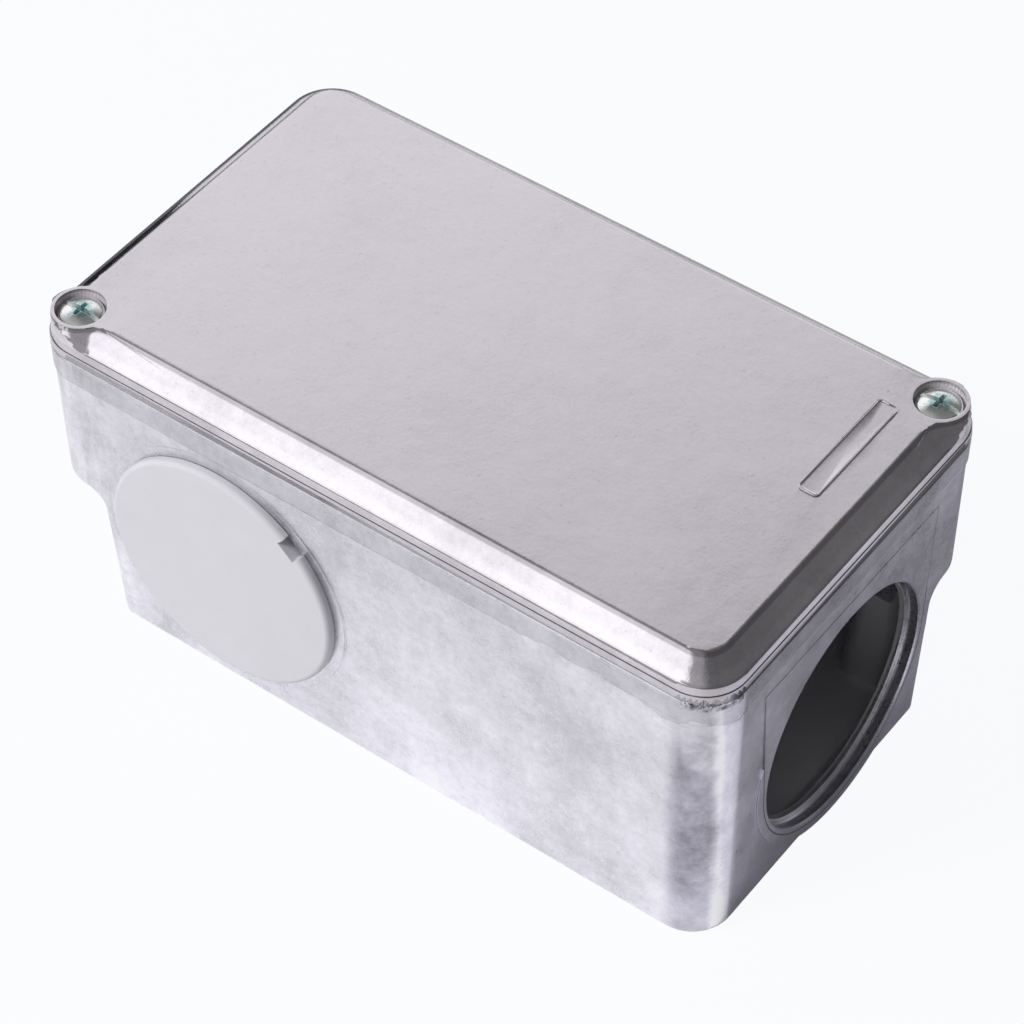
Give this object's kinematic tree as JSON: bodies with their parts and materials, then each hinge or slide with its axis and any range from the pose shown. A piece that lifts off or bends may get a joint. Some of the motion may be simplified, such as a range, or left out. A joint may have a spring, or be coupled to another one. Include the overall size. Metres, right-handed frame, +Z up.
{
  "type": "conduit body",
  "caption": "Die-cast aluminium conduit body: a drafted rectangular box with round entries, snap-in blanking caps and a gasketed cover held by screws at opposite corners.",
  "frame": {"origin": "centre of the flat back of the box", "axes": "+Z up through the cover, +X along the box towards the open entry, +Y towards the rear side entry"},
  "size_m": [0.1517, 0.0884, 0.073],
  "materials": {
    "cast_box": "tumbled die-cast aluminium, satin, mottled",
    "cast_cover": "tumbled die-cast aluminium, satin, mottled",
    "seal": "matt black rubber",
    "zinc_steel": "zinc-plated, blue passivated",
    "cap_plastic": "light grey moulded polyethylene",
    "brass": "plain turned brass"
  },
  "bodies": {
    "box": {"body": "cast_box", "earth_washer": "brass"},
    "lid": {"cover": "cast_cover", "gasket": "seal"},
    "screw_right": {"cover_screw_right": "zinc_steel"},
    "screw_left": {"cover_screw_left": "zinc_steel"},
    "plug_front": {"cap_front": "cap_plastic"},
    "plug_rear": {"cap_rear": "cap_plastic"},
    "plug_end": {"cap_end": "cap_plastic"},
    "terminal_screw": {"earth_screw": "brass"}
  },
  "joints": [
    {"name": "cover_lift", "type": "slide", "parent": "box", "child": "lid", "axis": [0, 0, 1], "range_m": [0, 0.03]},
    {"name": "cover_screw_right_turn", "type": "hinge", "parent": "lid", "child": "screw_right", "pos_m": [0.06815, 0.03565, 0.0694], "axis": [0, 0, 1], "continuous": true},
    {"name": "cover_screw_left_turn", "type": "hinge", "parent": "lid", "child": "screw_left", "pos_m": [-0.06815, -0.03565, 0.0694], "axis": [0, 0, 1], "continuous": true},
    {"name": "earth_screw_turn", "type": "hinge", "parent": "box", "child": "terminal_screw", "pos_m": [0.018, 0.02, 0.0096], "axis": [0, 0, 1], "continuous": true},
    {"name": "cap_front_pull", "type": "slide", "parent": "box", "child": "plug_front", "axis": [0, -1, 0], "range_m": [0, 0.02]},
    {"name": "cap_rear_pull", "type": "slide", "parent": "box", "child": "plug_rear", "axis": [0, 1, 0], "range_m": [0, 0.02]},
    {"name": "cap_end_pull", "type": "slide", "parent": "box", "child": "plug_end", "axis": [-1, 0, 0], "range_m": [0, 0.02]}
  ]
}
